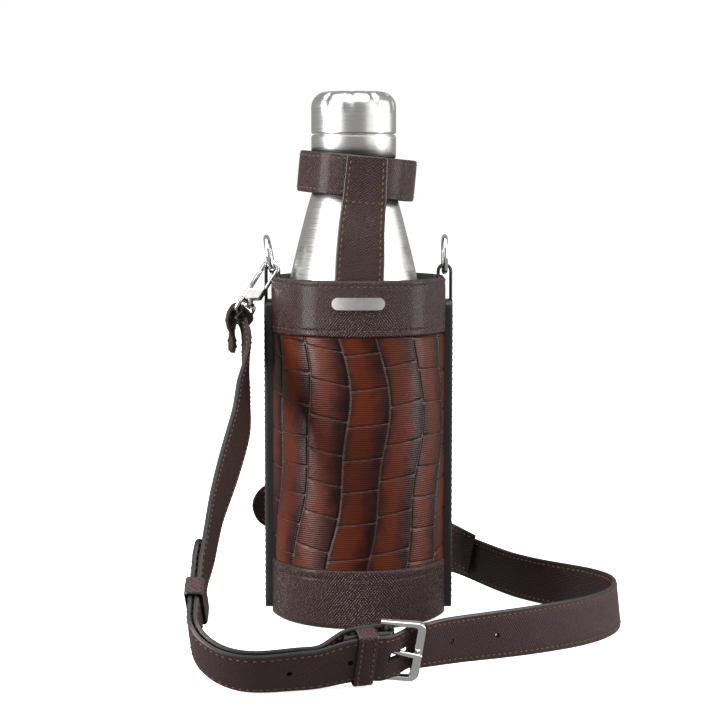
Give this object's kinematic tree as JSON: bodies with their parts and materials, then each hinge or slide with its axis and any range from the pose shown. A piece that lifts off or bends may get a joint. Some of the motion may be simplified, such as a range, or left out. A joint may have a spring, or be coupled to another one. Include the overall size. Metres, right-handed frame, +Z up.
{
  "type": "insulated bottle in a leather sleeve carrier",
  "caption": "Cola-shaped steel bottle with screw cap in a leather sleeve carrier with neck collar, side rings and a detachable buckled shoulder strap.",
  "frame": {"origin": "centre of the sleeve's base, on the surface it stands on", "axes": "+Z up along the sleeve, -Y towards the front with the nameplate, +X to the viewer's right"},
  "size_m": [0.208, 0.261, 0.2658],
  "materials": {
    "steel": "brushed",
    "plug": "matte",
    "gasket": "matte",
    "board": "matte",
    "lining": "matte",
    "dark_leather": "cross-grained, satin",
    "panel_leather": "embossed, glossy",
    "nickel": "polished and satin"
  },
  "bodies": {
    "carrier": {"sleeve_core": "board", "sleeve_lining": "lining", "sleeve_foot": "dark_leather", "top_band_front": "dark_leather", "top_band_back": "dark_leather", "panel_front": "panel_leather", "panel_back": "panel_leather", "base_band_front": "dark_leather", "base_band_back": "dark_leather", "side_strap_left": "dark_leather", "side_strap_right": "dark_leather", "nameplate": "nickel", "hook_near_loop": "nickel", "hook_far_loop": "nickel", "strap_short": "dark_leather", "strap_long": "dark_leather", "strap_guard_tab": "dark_leather", "buckle_frame": "nickel", "fixed_keeper": "dark_leather"},
    "bottle": {"bottle_shell": "steel", "bottle_flask": "steel", "bottle_base": "steel"},
    "gasket": {"cap_gasket": "gasket"},
    "cap": {"cap_shell": "steel", "cap_plug": "plug"},
    "collar": {"neck_collar": "dark_leather", "neck_strap_front": "dark_leather", "neck_strap_back": "dark_leather"},
    "ring_left": {"ring_left": "nickel"},
    "ring_right": {"ring_right": "nickel"},
    "hook_near": {"hook_near_body": "nickel"},
    "gate_near": {"hook_near_gate": "nickel"},
    "hook_far": {"hook_far_body": "nickel"},
    "gate_far": {"hook_far_gate": "nickel"},
    "prong": {"buckle_prong": "nickel"},
    "sliding_keeper": {"sliding_keeper": "dark_leather"}
  },
  "joints": [
    {"name": "bottle_lift", "type": "slide", "parent": "carrier", "child": "bottle", "axis": [0, 0, 1], "range_m": [0, 0.01]},
    {"name": "cap_lift", "type": "slide", "parent": "bottle", "child": "gasket", "axis": [0, 0, 1], "range_m": [0, 0.00525]},
    {"name": "cap_turn", "type": "hinge", "parent": "gasket", "child": "cap", "pos_m": [-0.0024, 0, 0.25], "axis": [0, 0, 1], "range_deg": [0, 540]},
    {"name": "collar_lift", "type": "slide", "parent": "carrier", "child": "collar", "axis": [0, 0, 1], "range_m": [0, 0.058]},
    {"name": "ring_left_swing", "type": "hinge", "parent": "carrier", "child": "ring_left", "pos_m": [-0.0437, 0, 0.1755], "axis": [0, 1, 0], "range_deg": [-2, 2]},
    {"name": "ring_right_swing", "type": "hinge", "parent": "carrier", "child": "ring_right", "pos_m": [0.0437, 0, 0.1755], "axis": [0, 1, 0], "range_deg": [-40, 130]},
    {"name": "hook_near_swivel", "type": "hinge", "parent": "carrier", "child": "hook_near", "pos_m": [-0.0546, -0.0074, 0.1611], "axis": [0.5299, 0.1399, 0.8364], "range_deg": [-3, 3]},
    {"name": "hook_near_gate", "type": "hinge", "parent": "hook_near", "child": "gate_near", "pos_m": [-0.05611, -0.00598, 0.16517], "axis": [0.1709, 0.9484, -0.2669], "range_deg": [0, 20], "stiffness_Nm_per_rad": 0.01, "springref_deg": -17.19},
    {"name": "hook_far_swivel", "type": "hinge", "parent": "carrier", "child": "hook_far", "pos_m": [-0.003, 0.08, 0.0175], "axis": [-0.9622, -0.0842, -0.2588], "range_deg": [-25, 25]},
    {"name": "hook_far_gate", "type": "hinge", "parent": "hook_far", "child": "gate_far", "pos_m": [-0.00538, 0.07618, 0.01678], "axis": [0.2578, 0.0226, -0.9659], "range_deg": [0, 20], "stiffness_Nm_per_rad": 0.01, "springref_deg": -17.19},
    {"name": "buckle_prong_turn", "type": "hinge", "parent": "carrier", "child": "prong", "pos_m": [0.01057, -0.14685, 0.01645], "axis": [-0.1319, 0.332, -0.934], "range_deg": [0, 15]},
    {"name": "sliding_keeper_slide", "type": "slide", "parent": "carrier", "child": "sliding_keeper", "axis": [-0.0519, -0.6871, -0.7247], "range_m": [-0.003, 0.003]}
  ],
  "couplings": [
    {"joint": "cap_lift", "follows": "cap_turn", "m_per_rad": 0.00055704}
  ]
}
